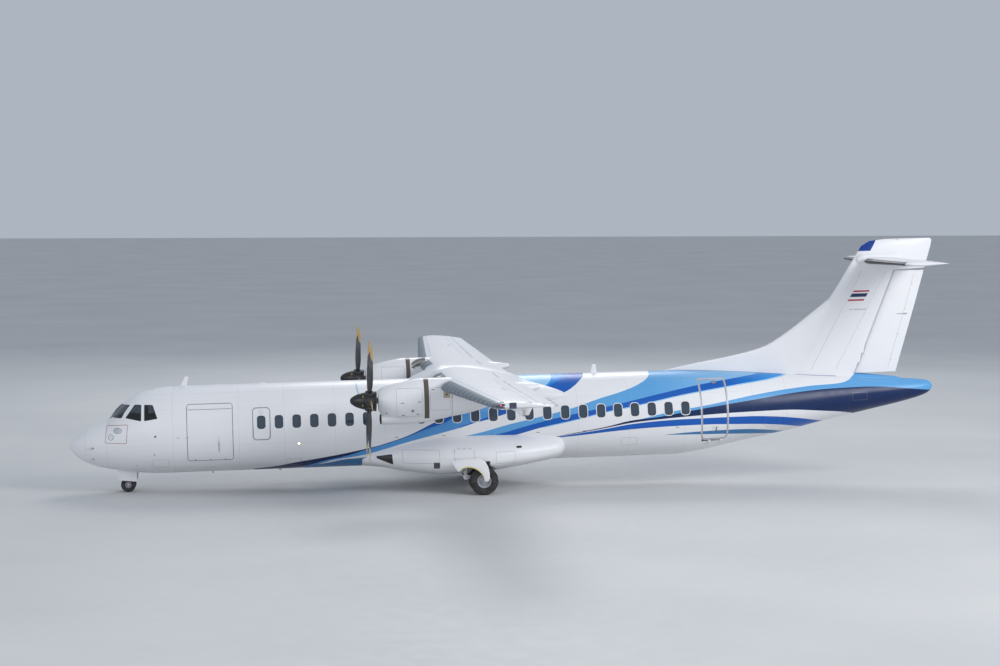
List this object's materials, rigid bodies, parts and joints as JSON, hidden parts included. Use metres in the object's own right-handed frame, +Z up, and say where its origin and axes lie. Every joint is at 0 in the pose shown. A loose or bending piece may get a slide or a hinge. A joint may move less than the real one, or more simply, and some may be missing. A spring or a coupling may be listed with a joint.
{
  "type": "twin turboprop airliner",
  "caption": "High-wing regional airliner with twin propellers, T-tail, belly gear fairings, airstair and cargo doors, standing on its wheels.",
  "frame": {"origin": "on the ground under the middle of the overall box, between the nose tip and the tail end", "axes": "+X aft, +Y to starboard, +Z up"},
  "size_m": [27.1589, 27.05, 7.6726],
  "materials": {
    "airframe_paint": "gloss",
    "radome_paint": "satin",
    "cockpit_glass": "polished",
    "cockpit_trim": "matte",
    "nacelle_paint": "gloss",
    "tail_paint": "gloss",
    "engine_block": "brushed",
    "spinner_paint": "gloss",
    "blade": "satin",
    "tyre": "matte",
    "wheel_rim": "satin",
    "gear_strut": "satin"
  },
  "bodies": {
    "airframe": {"windshield_left": "cockpit_glass", "side_window_fwd_left": "cockpit_glass", "side_window_aft_left": "cockpit_glass", "windshield_right": "cockpit_glass", "side_window_fwd_right": "cockpit_glass", "side_window_aft_right": "cockpit_glass", "radome": "radome_paint", "cockpit_section": "airframe_paint", "cockpit_interior": "cockpit_trim", "fuselage": "airframe_paint", "tail_section": "airframe_paint", "service_door": "airframe_paint", "tail_cone": "tail_paint", "outer_wing_left": "airframe_paint", "outer_wing_right": "airframe_paint", "wing_centre": "airframe_paint", "wing_fairing": "airframe_paint", "nacelle_cowl_left": "nacelle_paint", "nacelle_aft_left": "nacelle_paint", "engine_left": "engine_block", "nacelle_cowl_right": "nacelle_paint", "nacelle_aft_right": "nacelle_paint", "engine_right": "engine_block", "fin": "airframe_paint", "stabilizer": "airframe_paint", "gear_fairing": "airframe_paint", "main_gear_leg_left": "gear_strut", "main_gear_door_left": "airframe_paint", "main_gear_leg_right": "gear_strut", "main_gear_door_right": "airframe_paint", "nose_leg": "gear_strut", "nose_gear_door_left": "airframe_paint", "nose_gear_door_right": "airframe_paint"},
    "cargo_door": {"cargo_door": "airframe_paint"},
    "passenger_door": {"passenger_door": "airframe_paint"},
    "flap_inboard_left": {"flap_inboard_left": "airframe_paint"},
    "flap_inboard_right": {"flap_inboard_right": "airframe_paint"},
    "flap_outboard_left": {"flap_outboard_left": "airframe_paint"},
    "flap_outboard_right": {"flap_outboard_right": "airframe_paint"},
    "aileron_left": {"aileron_left": "airframe_paint"},
    "aileron_right": {"aileron_right": "airframe_paint"},
    "rudder": {"rudder": "airframe_paint"},
    "elevator_left": {"elevator_left": "airframe_paint"},
    "elevator_right": {"elevator_right": "airframe_paint"},
    "propeller_left": {"propeller_left": "blade", "spinner_left": "spinner_paint"},
    "propeller_right": {"propeller_right": "blade", "spinner_right": "spinner_paint"},
    "main_wheels_left": {"main_rim_left_outer": "wheel_rim", "main_rim_left_inner": "wheel_rim", "main_tyre_left_outer": "tyre", "main_tyre_left_inner": "tyre"},
    "main_wheels_right": {"main_rim_right_outer": "wheel_rim", "main_rim_right_inner": "wheel_rim", "main_tyre_right_outer": "tyre", "main_tyre_right_inner": "tyre"},
    "nose_steering": {"nose_fork": "gear_strut"},
    "nose_wheels": {"nose_wheels": "wheel_rim", "nose_tyre_left": "tyre", "nose_tyre_right": "tyre"}
  },
  "joints": [
    {"name": "propeller_left_spin", "type": "hinge", "parent": "airframe", "child": "propeller_left", "pos_m": [-4.57916, -4.05, 3.06439], "axis": [0.998, 0, 0.0637], "continuous": true},
    {"name": "main_wheels_left_spin", "type": "hinge", "parent": "airframe", "child": "main_wheels_left", "pos_m": [-1.038, -2.05, 0.432], "axis": [0, 1, 0], "continuous": true},
    {"name": "propeller_right_spin", "type": "hinge", "parent": "airframe", "child": "propeller_right", "pos_m": [-4.57916, 4.05, 3.06439], "axis": [0.998, 0, 0.0637], "continuous": true},
    {"name": "main_wheels_right_spin", "type": "hinge", "parent": "airframe", "child": "main_wheels_right", "pos_m": [-1.038, 2.05, 0.432], "axis": [0, 1, 0], "continuous": true},
    {"name": "nose_steering", "type": "hinge", "parent": "airframe", "child": "nose_steering", "pos_m": [-11.84529, 0, 0.58806], "axis": [-0.0201, 0, 0.9998], "range_deg": [-60, 60]},
    {"name": "nose_wheels_spin", "type": "hinge", "parent": "nose_steering", "child": "nose_wheels", "pos_m": [-11.808, 0, 0.225], "axis": [0, 1, 0], "continuous": true},
    {"name": "cargo_door_hinge", "type": "hinge", "parent": "airframe", "child": "cargo_door", "pos_m": [-9.2949, -1.105, 2.80469], "axis": [-0.9998, 0, -0.0201], "range_deg": [0, 105]},
    {"name": "passenger_door_hinge", "type": "hinge", "parent": "airframe", "child": "passenger_door", "pos_m": [6.27059, -1.24, 1.44182], "axis": [0.9998, 0, 0.0201], "range_deg": [0, 128]},
    {"name": "flap_outboard_left_hinge", "type": "hinge", "parent": "airframe", "child": "flap_outboard_left", "pos_m": [-0.58739, -7.23, 3.06484], "axis": [0.0122, 0.9992, -0.0372], "range_deg": [0, 35]},
    {"name": "flap_outboard_right_hinge", "type": "hinge", "parent": "airframe", "child": "flap_outboard_right", "pos_m": [-0.58739, 7.23, 3.06484], "axis": [-0.0122, 0.9992, 0.0372], "range_deg": [0, 35]},
    {"name": "flap_inboard_left_hinge", "type": "hinge", "parent": "airframe", "child": "flap_inboard_left", "pos_m": [-0.5587, -2.56, 2.96807], "axis": [-0.001, 1, -0.0012], "range_deg": [0, 35]},
    {"name": "flap_inboard_right_hinge", "type": "hinge", "parent": "airframe", "child": "flap_inboard_right", "pos_m": [-0.5587, 2.56, 2.96807], "axis": [0.001, 1, 0.0012], "range_deg": [0, 35]},
    {"name": "aileron_left_hinge", "type": "hinge", "parent": "airframe", "child": "aileron_left", "pos_m": [-0.68043, -11.43, 3.71686], "axis": [0.0131, 0.9995, -0.029], "range_deg": [-14, 14]},
    {"name": "aileron_right_hinge", "type": "hinge", "parent": "airframe", "child": "aileron_right", "pos_m": [-0.68043, 11.43, 3.71686], "axis": [-0.0131, 0.9995, 0.029], "range_deg": [-14, 14]},
    {"name": "rudder_hinge", "type": "hinge", "parent": "airframe", "child": "rudder", "pos_m": [11.76492, 0, 5.01781], "axis": [0.3567, 0, 0.9342], "range_deg": [-27, 27]},
    {"name": "elevator_left_hinge", "type": "hinge", "parent": "airframe", "child": "elevator_left", "pos_m": [12.4285, -1.95, 6.96559], "axis": [-0.0321, 0.9995, 0.005], "range_deg": [-23, 13]},
    {"name": "elevator_right_hinge", "type": "hinge", "parent": "airframe", "child": "elevator_right", "pos_m": [12.4285, 1.95, 6.96559], "axis": [0.0321, 0.9995, -0.005], "range_deg": [-23, 13]}
  ],
  "couplings": [
    {"joint": "flap_outboard_right_hinge", "follows": "flap_outboard_left_hinge", "ratio": 1},
    {"joint": "flap_inboard_left_hinge", "follows": "flap_outboard_left_hinge", "ratio": 1},
    {"joint": "flap_inboard_right_hinge", "follows": "flap_outboard_left_hinge", "ratio": 1},
    {"joint": "aileron_right_hinge", "follows": "aileron_left_hinge", "ratio": -1},
    {"joint": "elevator_right_hinge", "follows": "elevator_left_hinge", "ratio": 1}
  ]
}
